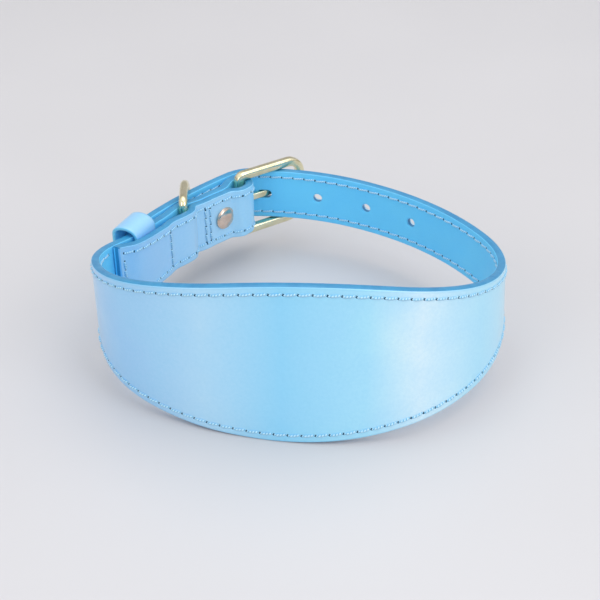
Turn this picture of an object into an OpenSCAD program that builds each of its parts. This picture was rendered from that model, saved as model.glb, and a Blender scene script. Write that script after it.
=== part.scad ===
// Wide-fronted buckle collar for a sighthound, fastened and standing on its lower edge.
// Millimetres, +Z up, +X to the wearer's right, -Y towards the wide front panel.
// Origin on the floor below the middle of the collar's outline.

/* [Strap] */
// Height of the strap where it is narrow
strap_w = 20; // [18:0.5:22]
// Thickness of the whole strap: face, core and lining
strap_t = 2.8; // [2.6:0.1:3]
// Thickness of the face leather
face_t = 0.8; // [0.6:0.1:0.9]
// Thickness of the lining leather
lining_t = 0.8; // [0.6:0.1:0.9]
// Distance from the strap's edge to the line of stitching
seam_inset = 2.5; // [2:0.1:3.2]

/* [Neck loop] */
// Radius of the run behind the neck
back_r = 88; // [86:0.5:90]
// Radius of the bend at the right side of the neck
right_r = 42; // [41:0.5:43]
// Radius of the bend at the left side of the neck
left_r = 41; // [40:0.5:42]
// Radius of the bends at each end of the flat throat
throat_side_r = 60; // [56:1:64]
// Radius of the sharp bend over the buckle's heel bar
kink_r = 14; // [13:0.5:15]
// Tilt of the collar on the floor, belly down
rest_tilt = 2.1; // [0:0.1:4]

/* [Front panel] */
// Extra height of the panel at the throat
panel_rise = 33; // [20:1:40]
// Half the length over which the panel widens
panel_half = 120; // [105:1:122]
// Upward bow of the panel's centre line
panel_bow = 8.5; // [4:0.5:12]
// Outward lean of the panel's lower edge
panel_lean = 11; // [0:1:14]

/* [Holes] */
// Distance between neighbouring holes
hole_pitch = 20; // [18:0.5:22]
// Diameter of a punched hole
hole_d = 3.6; // [3.4:0.1:4.2]
// Number of holes
hole_count = 5; // [4:1:5]

/* [Buckle] */
// Diameter of the buckle's wire
frame_d = 3.3; // [2.8:0.1:3.4]
// Distance from the heel bar to the far bar, centre to centre
frame_reach = 27; // [26:0.2:28]
// Thickness of the prong
prong_t = 1.5; // [1.2:0.1:1.6]
// Height of the prong
prong_w = 2.8; // [2.4:0.1:3]

/* [Lead ring] */
// Diameter of the ring's wire
ring_d = 3.2; // [2.8:0.1:3.4]
// Straight length of each of the ring's legs
ring_leg = 10.5; // [9.5:0.5:12]

/* [Rivet] */
// Diameter of the rivet's caps
cap_d = 8.6; // [7:0.2:9.4]
// Height of a cap's dome
cap_h = 1.5; // [1:0.1:2]

/* [Keeper] */
// Length of the keeper along the strap
keeper_len = 12; // [10:0.5:12.5]
// Thickness of the keeper's leather
keeper_t = 1.2; // [1:0.1:1.3]

/* [Hidden] */
station_step = 3;
walk_step = 1;
arc_facets = 48;
$fn = arc_facets;

// The closed neck loop: [radius, turn] of each bend, clockwise from the fastened hole.
// The two bends without a radius get the lengths that close the loop.
loop_bends = [
  [back_r, 65], [right_r, 80], [throat_side_r, 20], [0, 20],
  [throat_side_r, 25], [left_r, 80], [0, 27], [kink_r, 43]
];
throat_bend = 3;
buckle_bend = 6;
start_heading = 0;
bend_marks = [0 : len(loop_bends) - 1];

function along(h) = [cos(h), sin(h)];
function outward(h) = [-sin(h), cos(h)];

// Chord of a bend of length 1 that starts at heading h and turns clockwise
function unit_chord(h, turn) = sin(turn / 2) / (turn / 2 * PI / 180) * along(h - turn / 2);
function bend_heading(i) = i == 0 ? start_heading : bend_heading(i - 1) - loop_bends[i - 1][1];
function bend_chord(i) = unit_chord(bend_heading(i), loop_bends[i][1]);
function round_len(i) = loop_bends[i][0] * loop_bends[i][1] * PI / 180;

// Chord of all the bends with a radius, which the other two have to undo
ones = [for (i = bend_marks) 1];
open_chord = ones * [for (i = bend_marks) round_len(i) * bend_chord(i)];
closing_area = cross(bend_chord(throat_bend), bend_chord(buckle_bend));
throat_len = -cross(open_chord, bend_chord(buckle_bend)) / closing_area;
buckle_len = -cross(bend_chord(throat_bend), open_chord) / closing_area;
function bend_len(i) = i == throat_bend ? throat_len : i == buckle_bend ? buckle_len : round_len(i);

function bend_steps(i) = max(2, round(bend_len(i) / walk_step));
loop_steps = [
  for (i = bend_marks)
    for (k = [1 : bend_steps(i)])
      [bend_len(i) / bend_steps(i), loop_bends[i][1] / bend_steps(i)]
];
step_total = len(loop_steps);
loop_walk = [
  for (
    i = 0, s = 0, p = [0, 0], h = start_heading;
    i <= step_total;
    s = s + loop_steps[i % step_total][0],
    p = p + loop_steps[i % step_total][0] * unit_chord(h, loop_steps[i % step_total][1]),
    h = h - loop_steps[i % step_total][1],
    i = i + 1
  )
    [s, p[0], p[1], h]
];
loop_len = loop_walk[step_total][0];
walk_x = [for (w = loop_walk) [w[0], w[1]]];
walk_y = [for (w = loop_walk) [w[0], w[2]]];
walk_h = [for (w = loop_walk) [w[0], w[3]]];
all_x = [for (w = loop_walk) w[1]];
all_y = [for (w = loop_walk) w[2]];
loop_middle = [min(all_x) + max(all_x), min(all_y) + max(all_y)] / 2;

function loop_at(s) = [lookup(s, walk_x), lookup(s, walk_y)] - loop_middle;
function heading_at(s) = lookup(s, walk_h);

// Places along the loop, all measured back from the fastened hole's end
fold_s = loop_len - 12;
rivet_s = loop_len - 22.8;
ring_row_s = loop_len - 31.5;
ring_row_gap = 2.2;
ring_s = loop_len - 41.5;
keeper_row_s = loop_len - 55.4;
keeper_s = loop_len - 65.5;
tail_s = loop_len - 69.2;
flap_end_row_s = loop_len - 81.6;
flap_s = loop_len - 83.8;
panel_s = loop_len - 171.5;
bow_s = loop_len - 180;
bow_half = 170;
lean_s = loop_len - 212;
lean_half = 85;
hole_s = 5;

// A hump that is 1 at u = 0 and eases to 0 at u = +-half
function hump(u, half) = abs(u) < half ? pow(cos(90 * u / half), 2) : 0;
// Eased value between neighbouring [place, value] keys
function eased(s, keys, i = 0) =
  s <= keys[0][0] ? keys[0][1] :
  i >= len(keys) - 1 ? keys[len(keys) - 1][1] :
  s <= keys[i + 1][0]
    ? keys[i][1] + (keys[i + 1][1] - keys[i][1])
      * (1 - cos(180 * (s - keys[i][0]) / (keys[i + 1][0] - keys[i][0]))) / 2
    : eased(s, keys, i + 1);

// Depth of the buckle layer below the tail, and the gap between it and the flap
fold_r = 2.7;
fold_mid_r = fold_r + strap_t / 2;
fold_depth = 7.7;
layer_keys = [
  [loop_len - 98, 0], [loop_len - 64, 3.9], [loop_len - 50, 4.2], [ring_s, 3.5],
  [loop_len - 30, 5.7], [loop_len - 20, 6.3], [fold_s, fold_depth - fold_mid_r]
];
gap_keys = [
  [flap_s, 0.25], [loop_len - 74.5, 2.4], [loop_len - 57.5, 2.4],
  [keeper_row_s + 3, 1.8], [ring_s, ring_d + 0.4], [ring_s + 5.4, 0.25],
  [loop_len - 20, 0.25], [fold_s, 2 * fold_r]
];
function layer_depth(s) = eased(s, layer_keys);
function layer_slope(s) = layer_depth(s + 0.5) - layer_depth(s - 0.5);
function flap_depth(s) =
  layer_depth(s) + (strap_t + eased(s, gap_keys)) * sqrt(1 + pow(layer_slope(s), 2));

function loop_point(s, depth) = loop_at(s) - depth * outward(heading_at(s));
function mid_z(s) = panel_bow * hump(s - bow_s, bow_half);
function half_w(s) = (strap_w + panel_rise * hump(s - panel_s, panel_half)) / 2;
function lean_at(s) = tan(panel_lean * hump(s - lean_s, lean_half));

// Rounded end of the tail: half height at distance d from the tip
function tip_half(d) =
  d >= strap_w / 2 ? strap_w / 2 : max(2, sqrt(pow(strap_w / 2, 2) - pow(strap_w / 2 - d, 2)));

// One station of the strip: [plan point, centre height, half height, lean]
function station(s, depth, half, lean) = [loop_point(s, depth), mid_z(s), half, lean];
tail_steps = ceil((loop_len - tail_s) / station_step);
main_steps = ceil(fold_s / station_step);
flap_steps = ceil((fold_s - flap_s) / (0.7 * station_step));
fold_steps = 12;
fold_centre = loop_point(fold_s, fold_depth);
fold_h = heading_at(fold_s);
tail_marks = [0, 0.7, 1.6, 3];
tail_run = [
  for (d = concat(tail_marks, [for (k = [2 : tail_steps - 1]) k * (loop_len - tail_s) / tail_steps]))
    station(tail_s + d, 0, tip_half(d), 0)
];
main_run = [
  for (k = [0 : main_steps])
    let (s = k * fold_s / main_steps)
      station(s, layer_depth(s), half_w(s), lean_at(s))
];
fold_run = [
  for (k = [1 : fold_steps - 1])
    [
      fold_centre + fold_mid_r * outward(fold_h - 180 * k / fold_steps),
      mid_z(fold_s), half_w(fold_s), 0
    ]
];
flap_run = [
  for (k = [0 : flap_steps])
    let (s = fold_s - k * (fold_s - flap_s) / flap_steps)
      station(s, flap_depth(s), half_w(s), 0)
];
strip = concat(tail_run, main_run, fold_run, flap_run);
strip_len = len(strip);
tail_count = len(tail_run);

function unit(v) = v / norm(v);
function strip_dir(i) = unit(strip[min(i + 1, strip_len - 1)][0] - strip[max(i - 1, 0)][0]);
strip_out = [for (i = [0 : strip_len - 1]) let (d = strip_dir(i)) [-d[1], d[0]]];

// Point on the strip: station i, distance out from the middle, height above the centre
function strip_point(i, out, up) =
  let (
    st = strip[i],
    shift = out + st[3] * (st[2] - up),
    p = st[0] + shift * strip_out[i]
  )
    [p[0], p[1], st[1] + up];

// Outer face of the panel's lowest point, which stands on the floor
belly_s = panel_s;
belly_plan = loop_point(belly_s, 0) + (strap_t / 2 + 2 * half_w(belly_s) * lean_at(belly_s))
  * outward(heading_at(belly_s));
belly_z = mid_z(belly_s) - half_w(belly_s);
rest_lift = -(belly_plan[1] * sin(rest_tilt) + belly_z * cos(rest_tilt));

face_colour = [0.45, 0.78, 0.98];
lining_colour = [0.38, 0.72, 0.94];
core_colour = [0.16, 0.5, 0.68];
thread_colour = [0.62, 0.86, 1];
gold = [0.86, 0.8, 0.6];
rivet_colour = [0.85, 0.76, 0.68];

// Stands the collar on the floor
module rest() {
  translate([0, 0, rest_lift])
    rotate([rest_tilt, 0, 0])
      children();
}

// Closed solid swept along stations first..last between two faces and two heights.
// Its inner and outer sides are split along the same diagonals, so layers meet exactly.
module sweep(first, last, in0, out0, up, down) {
  count = last - first + 1;
  pts = [
    for (i = [first : last])
      each [
        strip_point(i, in0, down(i)), strip_point(i, out0, down(i)),
        strip_point(i, out0, up(i)), strip_point(i, in0, up(i))
      ]
  ];
  inner_side = 3;
  sides = [
    for (k = [0 : count - 2])
      for (j = [0 : inner_side])
        let (
          a = 4 * k + j, b = 4 * k + (j + 1) % 4,
          c = 4 * (k + 1) + (j + 1) % 4, d = 4 * (k + 1) + j
        )
          each j == inner_side ? [[a, b, d], [b, c, d]] : [[a, b, c], [a, c, d]]
  ];
  ends = [
    [2, 1, 0], [3, 2, 0],
    [4 * count - 4, 4 * count - 3, 4 * count - 2], [4 * count - 4, 4 * count - 2, 4 * count - 1]
  ];
  polyhedron(pts, concat(sides, ends), convexity = 8);
}

// Local frame on the loop: X along the strap, Y outward, Z up
module at_loop(s, depth) {
  p = loop_point(s, depth);
  translate([p[0], p[1], mid_z(s)])
    rotate([0, 0, heading_at(s)])
      children();
}

// Cylinder along local Y between two distances
module cross_pin(y0, y1, d) {
  translate([0, y0, 0])
    rotate([-90, 0, 0])
      cylinder(h = y1 - y0, d = d);
}

// Heel bar of the buckle, lying in the fold
bar_slack = fold_r - frame_d / 2 - 0.15;
bar_point = fold_centre + bar_slack * along(fold_h + 40);
frame_h = fold_h - 10;
frame_room = 0.25;
frame_half = strap_w / 2 + frame_room + frame_d / 2;
heel_corner = 2;
far_corner = 5.5;
eye_gap = 0.06;
prong_reach = frame_reach + 2.6;
prong_low = frame_d / 2 + eye_gap;
eye_r = prong_low + prong_t;

module at_bar() {
  translate([bar_point[0], bar_point[1], mid_z(fold_s)])
    rotate([0, 0, frame_h])
      children();
}

// Round hole number k, counted from the fastened one
hole_cut = strap_t / 2 + 0.6;
module strap_hole(k) {
  s = k < 0 ? loop_len + hole_s + k * hole_pitch : hole_s + k * hole_pitch;
  at_loop(s, 0)
    cross_pin(-hole_cut, hole_cut, hole_d);
}

// Slanted way of the prong through the fastened hole
way_low = 0.2;
way_high = 0.7;
module prong_way() {
  at_bar()
    translate([8, prong_low - way_low, -prong_w / 2 - 0.3])
      cube([14, prong_t + way_low + way_high, prong_w + 0.6]);
}

// Slot in the fold where the prong's eye turns
slot_w = prong_w + 1;
slot_back = 3.2;
slot_in = 3.1;
slot_len = 9.2;
module fold_slot() {
  translate([fold_centre[0], fold_centre[1], mid_z(fold_s) - slot_w / 2])
    rotate([0, 0, fold_h])
      translate([-slot_back, -slot_in, 0])
        cube([slot_len, slot_in + fold_mid_r + strap_t / 2 + 0.2, slot_w]);
}

// Hole for the rivet through the flap and the layer behind it
post_d = 3.6;
pin_d = 2.3;
rivet_in = -flap_depth(rivet_s) - strap_t / 2;
rivet_out = -layer_depth(rivet_s) + strap_t / 2;
module rivet_hole() {
  at_loop(rivet_s, 0)
    cross_pin(rivet_in - 0.5, rivet_out + 0.5, post_d + 0.1);
}

module strap_cuts() {
  for (k = [-1 : hole_count - 2])
    strap_hole(k);
  prong_way();
  fold_slot();
  rivet_hole();
}

// One layer of the strap, tail tip to flap end
module layer(in0, out0) {
  difference() {
    sweep(0, strip_len - 1, in0, out0, function(i) strip[i][2], function(i) -strip[i][2]);
    strap_cuts();
  }
}

module face_leather() {
  color(face_colour)
    rest()
      layer(strap_t / 2 - face_t, strap_t / 2);
}

module strap_core() {
  color(core_colour)
    rest()
      layer(-strap_t / 2 + lining_t, strap_t / 2 - face_t);
}

module lining_leather() {
  color(lining_colour)
    rest()
      layer(-strap_t / 2, -strap_t / 2 + lining_t);
}

// Line of thread bedded in one face, a set distance in from one edge
thread_w = 0.7;
thread_h = 0.3;
thread_bed = 0.1;
seam_first = 4;
module seam(last, in0, side) {
  sweep(
    seam_first, last, in0, in0 + thread_h + thread_bed,
    function(i) side * (strip[i][2] - seam_inset) + thread_w / 2,
    function(i) side * (strip[i][2] - seam_inset) - thread_w / 2
  );
}
lining_seam_last = tail_count + floor(main_steps * (flap_s - 2) / fold_s);

module face_seam_top() {
  color(thread_colour)
    rest()
      seam(strip_len - 2, strap_t / 2 - thread_bed, 1);
}

module face_seam_bottom() {
  color(thread_colour)
    rest()
      seam(strip_len - 2, strap_t / 2 - thread_bed, -1);
}

module lining_seam_top() {
  color(thread_colour)
    rest()
      seam(lining_seam_last, -strap_t / 2 - thread_h, 1);
}

module lining_seam_bottom() {
  color(thread_colour)
    rest()
      seam(lining_seam_last, -strap_t / 2 - thread_h, -1);
}

// Row of stitches across the strap, through the flap and the layer behind it
row_stitches = 4;
module cross_row(s) {
  y_in = -flap_depth(s) - strap_t / 2;
  y_out = -layer_depth(s) + strap_t / 2;
  row_half = half_w(s) - seam_inset - thread_w;
  at_loop(s, 0) {
    translate([-thread_w / 2, y_in - thread_h, -row_half])
      cube([thread_w, thread_h, 2 * row_half]);
    translate([-thread_w / 2, y_out, -row_half])
      cube([thread_w, thread_h, 2 * row_half]);
    for (k = [0 : row_stitches])
      translate([0, 0, (2 * k / row_stitches - 1) * (row_half - thread_w / 2)])
        cross_pin(y_in - thread_h / 2, y_out + thread_h / 2, 0.5);
  }
}

module flap_end_stitching() {
  color(thread_colour)
    rest()
      cross_row(flap_end_row_s);
}

module keeper_stitching() {
  color(thread_colour)
    rest()
      cross_row(keeper_row_s);
}

module ring_stitching() {
  color(thread_colour)
    rest() {
      cross_row(ring_row_s - ring_row_gap / 2);
      cross_row(ring_row_s + ring_row_gap / 2);
    }
}

// Quarter bend of round wire in the XZ plane, from +X towards +Z
module wire_bend(bend_r, d) {
  rotate([90, 0, 0])
    rotate_extrude(angle = 90)
      translate([bend_r, 0])
        circle(d = d);
}

module buckle_frame() {
  side = frame_half;
  color(gold)
    rest()
      at_bar() {
        translate([0, 0, heel_corner - side])
          cylinder(h = 2 * (side - heel_corner), d = frame_d);
        translate([frame_reach, 0, far_corner - side])
          cylinder(h = 2 * (side - far_corner), d = frame_d);
        for (m = [0, 1])
          mirror([0, 0, m]) {
            translate([heel_corner, 0, side])
              rotate([0, 90, 0])
                cylinder(h = frame_reach - heel_corner - far_corner, d = frame_d);
            translate([frame_reach - far_corner, 0, side - far_corner])
              wire_bend(far_corner, frame_d);
            translate([heel_corner, 0, side - heel_corner])
              mirror([1, 0, 0])
                wire_bend(heel_corner, frame_d);
          }
      }
}

module buckle_prong() {
  color(gold)
    rest()
      at_bar()
        difference() {
          translate([0, 0, -prong_w / 2])
            union() {
              cylinder(h = prong_w, r = eye_r);
              translate([0, prong_low, 0])
                cube([prong_reach - prong_w / 2, prong_t, prong_w]);
              translate([prong_reach - prong_w / 2, prong_low, prong_w / 2])
                rotate([-90, 0, 0])
                  cylinder(h = prong_t, d = prong_w);
            }
          translate([0, 0, -prong_w])
            cylinder(h = 2 * prong_w, r = prong_low);
        }
}

// Straight bar in its pocket, two legs and a round bow
ring_swing = 37;
ring_room = 0.75;
ring_depth = layer_depth(ring_s) + strap_t / 2 + (ring_d + 0.4) / 2;
ring_half = strap_w / 2 + ring_room + ring_d / 2;
ring_corner = 2;
module lead_ring() {
  side = ring_half;
  color(gold)
    rest()
      at_loop(ring_s, ring_depth)
        rotate([0, 0, ring_swing]) {
          translate([0, 0, ring_corner - side])
            cylinder(h = 2 * (side - ring_corner), d = ring_d);
          for (m = [0, 1])
            mirror([0, 0, m]) {
              translate([ring_corner, 0, side])
                rotate([0, 90, 0])
                  cylinder(h = ring_leg - ring_corner, d = ring_d);
              translate([ring_corner, 0, side - ring_corner])
                mirror([1, 0, 0])
                  wire_bend(ring_corner, ring_d);
              translate([ring_leg, 0, 0])
                wire_bend(side, ring_d);
            }
        }
}

// Domed cap lying on local y = 0 and rising towards +Y
dome_r = (pow(cap_d / 2, 2) + pow(cap_h, 2)) / (2 * cap_h);
module dome() {
  intersection() {
    translate([0, cap_h - dome_r, 0])
      sphere(r = dome_r);
    cross_pin(0, cap_h + 1, cap_d);
  }
}

module rivet_cap() {
  color(rivet_colour)
    rest()
      at_loop(rivet_s, 0)
        difference() {
          union() {
            translate([0, rivet_in, 0])
              mirror([0, 1, 0])
                dome();
            cross_pin(rivet_in - 0.2, rivet_out, post_d);
          }
          cross_pin(rivet_in + 0.4, rivet_out + 1, pin_d + 0.1);
        }
}

module rivet_post() {
  color(rivet_colour)
    rest()
      at_loop(rivet_s, 0)
        translate([0, rivet_out, 0]) {
          dome();
          cross_pin(rivet_in - rivet_out + 0.6, 0.2, pin_d);
        }
}

// Loose leather loop round the buckle layer and the tail
keeper_out = strap_t / 2 + 0.5;
keeper_in = -layer_depth(keeper_s) - strap_t / 2 - 0.6;
keeper_r = (keeper_out - keeper_in) / 2;
keeper_side = half_w(keeper_s) + 0.3;
keeper_rise = 2.3;
keeper_facets = 24;
module keeper_outline(grow) {
  polygon([
    for (m = [0, 1])
      for (k = [0 : keeper_facets])
        let (t = 180 * (m + k / keeper_facets))
          [(keeper_r + grow) * cos(t), (1 - 2 * m) * keeper_side + (keeper_rise + grow) * sin(t)]
  ]);
}

module keeper_loop() {
  color(face_colour)
    rest()
      at_loop(keeper_s, 0)
        translate([-keeper_len / 2, (keeper_out + keeper_in) / 2, 0])
          rotate([90, 0, 90])
            linear_extrude(keeper_len)
              difference() {
                keeper_outline(keeper_t);
                keeper_outline(0);
              }
}

face_leather();
strap_core();
lining_leather();
face_seam_top();
face_seam_bottom();
lining_seam_top();
lining_seam_bottom();
flap_end_stitching();
keeper_stitching();
ring_stitching();
buckle_frame();
buckle_prong();
lead_ring();
rivet_cap();
rivet_post();
keeper_loop();
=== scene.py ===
"""Looks of a wide-fronted leather sighthound collar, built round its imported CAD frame.

Lengths are in millimetres while a shape is worked out, and in metres once a mesh is made.
A place s is measured round the loop from the fastened hole. On the strip, u is the length from
the tail's tip, v the height from the middle line and w the distance out of the middle surface.
"""
import math
from types import SimpleNamespace

import bmesh
import bpy
import numpy as np
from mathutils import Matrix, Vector


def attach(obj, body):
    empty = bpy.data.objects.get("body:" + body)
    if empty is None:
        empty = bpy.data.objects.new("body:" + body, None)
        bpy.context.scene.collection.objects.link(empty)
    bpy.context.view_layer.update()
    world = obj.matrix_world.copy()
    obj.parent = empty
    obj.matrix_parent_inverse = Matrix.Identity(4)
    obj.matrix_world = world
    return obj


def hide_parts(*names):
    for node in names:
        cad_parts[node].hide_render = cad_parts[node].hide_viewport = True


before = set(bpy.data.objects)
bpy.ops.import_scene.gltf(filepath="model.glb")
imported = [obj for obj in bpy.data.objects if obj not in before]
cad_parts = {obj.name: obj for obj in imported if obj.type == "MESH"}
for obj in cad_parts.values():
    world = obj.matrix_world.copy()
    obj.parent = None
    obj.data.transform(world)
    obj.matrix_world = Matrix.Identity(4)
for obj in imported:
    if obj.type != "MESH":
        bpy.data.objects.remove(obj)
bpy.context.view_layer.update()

MM = 0.001

# Edges sharper than this, in degrees, are shaded sharp
SMOOTH_SOFT = 50
SMOOTH_HARD = 60

# Strap
STRAP_W = 20.0
STRAP_T = 2.8
SKIN_T = 0.8
FACE = STRAP_T / 2
SKIN_BACK = FACE - SKIN_T
SEAM_INSET = 2.5
STITCH = 4.3
THREAD_R = 0.36
HOLE_D = 3.6
HOLE_PITCH = 20.0
FIRST_HOLE = 5.0
ROUND_HOLES = 3
PATH_STEP = 0.25
SEAM_START = 6.0
LINING_SEAM_GAP = 2.0
TIP_BLUNT = 0.3

# Neck loop: (radius, turn) of each bend, clockwise from the fastened hole.
# The two bends without a radius get the lengths that close the loop.
BACK_R = 88.0
RIGHT_R = 42.0
LEFT_R = 41.0
THROAT_SIDE_R = 60.0
KINK_R = 14.0
LOOP_BENDS = [
    (BACK_R, 65), (RIGHT_R, 80), (THROAT_SIDE_R, 20), (0, 20),
    (THROAT_SIDE_R, 25), (LEFT_R, 80), (0, 27), (KINK_R, 43),
]
START_HEADING = 0.0
# The collar leans this far about the X axis, to rest on the panel's lower edge
REST_TILT = math.radians(2.1)


def unit_chord(heading, turn):
    """Chord of a bend of length 1 that starts at a heading and turns clockwise, in degrees."""
    half = math.radians(turn / 2)
    middle = math.radians(heading) - half
    return math.sin(half) / half * np.array([math.cos(middle), math.sin(middle)])


def bend_lengths():
    """Length of every bend, the two closing ones solved from the others."""
    heading = START_HEADING
    chords = []
    for _, turn in LOOP_BENDS:
        chords.append(unit_chord(heading, turn))
        heading -= turn
    chords = np.array(chords)
    lengths = np.array([radius * math.radians(turn) for radius, turn in LOOP_BENDS])
    free = [k for k, (radius, _) in enumerate(LOOP_BENDS) if radius == 0]
    lengths[free] = np.linalg.solve(chords[free].T, -lengths @ chords)
    return lengths


BEND_LENGTHS = bend_lengths()
LOOP_LEN = float(sum(BEND_LENGTHS))

# Places along the loop
FOLD = LOOP_LEN - 12
RIVET = LOOP_LEN - 22.8
RING_ROWS = (LOOP_LEN - 32.6, LOOP_LEN - 30.4)
RING = LOOP_LEN - 41.5
KEEPER_ROW = LOOP_LEN - 55.4
KEEPER = LOOP_LEN - 65.5
TAIL_TIP = LOOP_LEN - 69.2
FLAP_END_ROW = LOOP_LEN - 81.6
FLAP_END = LOOP_LEN - 83.8
PANEL = LOOP_LEN - 171.5

# Front panel
PANEL_RISE = 33.0
PANEL_HALF = 120.0
BOW_PLACE = LOOP_LEN - 180
BOW_HALF = 170.0
BOW_RISE = 8.5
LEAN_PLACE = LOOP_LEN - 212
LEAN_HALF = 85.0
LEAN = 11.0

# Buckle, ring, rivet and keeper
WIRE_D = 3.3
WIRE_SQUARENESS = 3.4
FRAME_REACH = 27.0
FRAME_ROOM = 0.25
FRAME_HEEL_R = 2.0
FRAME_FAR_R = 5.5
FRAME_TURN = -10.0
BAR_ROOM = 0.15
BAR_PULL = 40.0
PRONG_T = 1.5
PRONG_W = 2.8
PRONG_PAST = 2.6
PRONG_TIP = 1.6
PRONG_TAPER = 0.22
PRONG_THINNING = 0.12
PRONG_SQUARENESS = 4
TIP_LEAST = 0.02
EYE_GAP = 0.06
EYE_END = -215
RING_D = 3.2
RING_CORNER_R = 2.0
RING_LEG = 10.5
RING_SWING = 37.0
RING_ROOM = 0.75
RING_POCKET = RING_D + 0.4
CAP_D = 8.6
CAP_H = 1.5
APEX_R = 0.001
# A cap's dome, groove, rolled rim and foot, as shares of its radius and height
DOME_R = 0.86
DOME_DROP = 0.55
DOME_POWER = 2.2
CAP_RIM = [(0.88, 0.38), (0.91, 0.4), (0.96, 0.36), (1, 0.2), (0.99, 0.05), (0.95, -1 / 15)]
KEEPER_LEN = 12.0
KEEPER_T = 1.2
KEEPER_RISE = 2.3
KEEPER_OUT = FACE + 0.5
KEEPER_IN = FACE + 0.6
KEEPER_ROOM = 0.3
KEEPER_CORNER = 0.12
KEEPER_LIP = 0.3
KEEPER_SHOULDER = 0.16
KEEPER_CROWN = 0.06

# Buckle end: fold round the heel bar, and the layers behind the tail
FOLD_R = 2.7
FOLD_MID_R = FOLD_R + STRAP_T / 2
FOLD_DEPTH = 7.7
FOLD_STEP = 3
LAYER_KEYS = [
    (LOOP_LEN - 98, 0), (LOOP_LEN - 64, 3.9), (LOOP_LEN - 50, 4.2), (RING, 3.5),
    (LOOP_LEN - 30, 5.7), (LOOP_LEN - 20, 6.3), (FOLD, FOLD_DEPTH - FOLD_MID_R),
]
GAP_KEYS = [
    (FLAP_END, 0.25), (LOOP_LEN - 74.5, 2.4), (LOOP_LEN - 57.5, 2.4), (KEEPER_ROW + 3, 1.8),
    (RING, RING_POCKET), (RING + 5.4, 0.25), (LOOP_LEN - 20, 0.25), (FOLD, 2 * FOLD_R),
]


def unit(vectors):
    """Vectors along the last axis, scaled to length 1."""
    return vectors / np.linalg.norm(vectors, axis=-1)[..., None]


# ---------------------------------------------------------------- neck loop

def walk_loop():
    """Place, x, y and heading at every step round the closed loop, centred on its outline."""
    place, points, heading = [0.0], [np.zeros(2)], [START_HEADING]
    for length, (_, turn) in zip(BEND_LENGTHS, LOOP_BENDS):
        steps = max(2, round(length))
        for _ in range(steps):
            step = length / steps * unit_chord(heading[-1], turn / steps)
            points.append(points[-1] + step)
            place.append(place[-1] + length / steps)
            heading.append(heading[-1] - turn / steps)
    points = np.array(points)
    points -= (points.max(0) + points.min(0)) / 2
    return np.array(place), points[:, 0], points[:, 1], np.radians(heading)


LOOP_PLACE, LOOP_X, LOOP_Y, LOOP_HEADING = walk_loop()


def heading_at(s):
    return np.interp(s, LOOP_PLACE, LOOP_HEADING)


def outward(heading):
    return np.stack([-np.sin(heading), np.cos(heading)], -1)


def loop_point(s, depth):
    """Plan point at place s, a given depth inside the loop."""
    centre = np.stack([np.interp(s, LOOP_PLACE, LOOP_X), np.interp(s, LOOP_PLACE, LOOP_Y)], -1)
    return centre - np.asarray(depth)[..., None] * outward(heading_at(s))


def hump(u, half):
    """1 at u = 0, easing to 0 at u = +-half."""
    return np.where(np.abs(u) < half, np.cos(np.pi / 2 * np.clip(u / half, -1, 1)) ** 2, 0.0)


def eased(s, keys):
    """Eased value between neighbouring (place, value) keys."""
    places, values = np.array(keys, float).T
    k = np.clip(np.searchsorted(places, s) - 1, 0, len(places) - 2)
    share = np.clip((s - places[k]) / (places[k + 1] - places[k]), 0, 1)
    return values[k] + (values[k + 1] - values[k]) * (1 - np.cos(np.pi * share)) / 2


def layer_depth(s):
    return eased(np.asarray(s, float), LAYER_KEYS)


def flap_depth(s):
    slope = layer_depth(s + 0.5) - layer_depth(s - 0.5)
    return layer_depth(s) + (STRAP_T + eased(s, GAP_KEYS)) * np.sqrt(1 + slope ** 2)


def mid_height(s):
    return BOW_RISE * hump(s - BOW_PLACE, BOW_HALF)


def half_width(s):
    return (STRAP_W + PANEL_RISE * hump(s - PANEL, PANEL_HALF)) / 2


def lean_at(s):
    return np.tan(np.radians(LEAN) * hump(s - LEAN_PLACE, LEAN_HALF))


def rest_lift():
    """How far the panel's lowest point has to rise to stand on the floor."""
    out = STRAP_T / 2 + 2 * half_width(PANEL) * lean_at(PANEL)
    belly = loop_point(PANEL, -out)
    low = mid_height(PANEL) - half_width(PANEL)
    return -(belly[1] * math.sin(REST_TILT) + low * math.cos(REST_TILT))


REST_LIFT = rest_lift()


def stand(points):
    """Turns design points in millimetres into standing points in metres."""
    x, y, z = np.moveaxis(np.asarray(points, float), -1, 0)
    c, s = math.cos(REST_TILT), math.sin(REST_TILT)
    return np.stack([x, y * c - z * s, y * s + z * c + REST_LIFT], -1) * MM


# ---------------------------------------------------------------- strip

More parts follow.
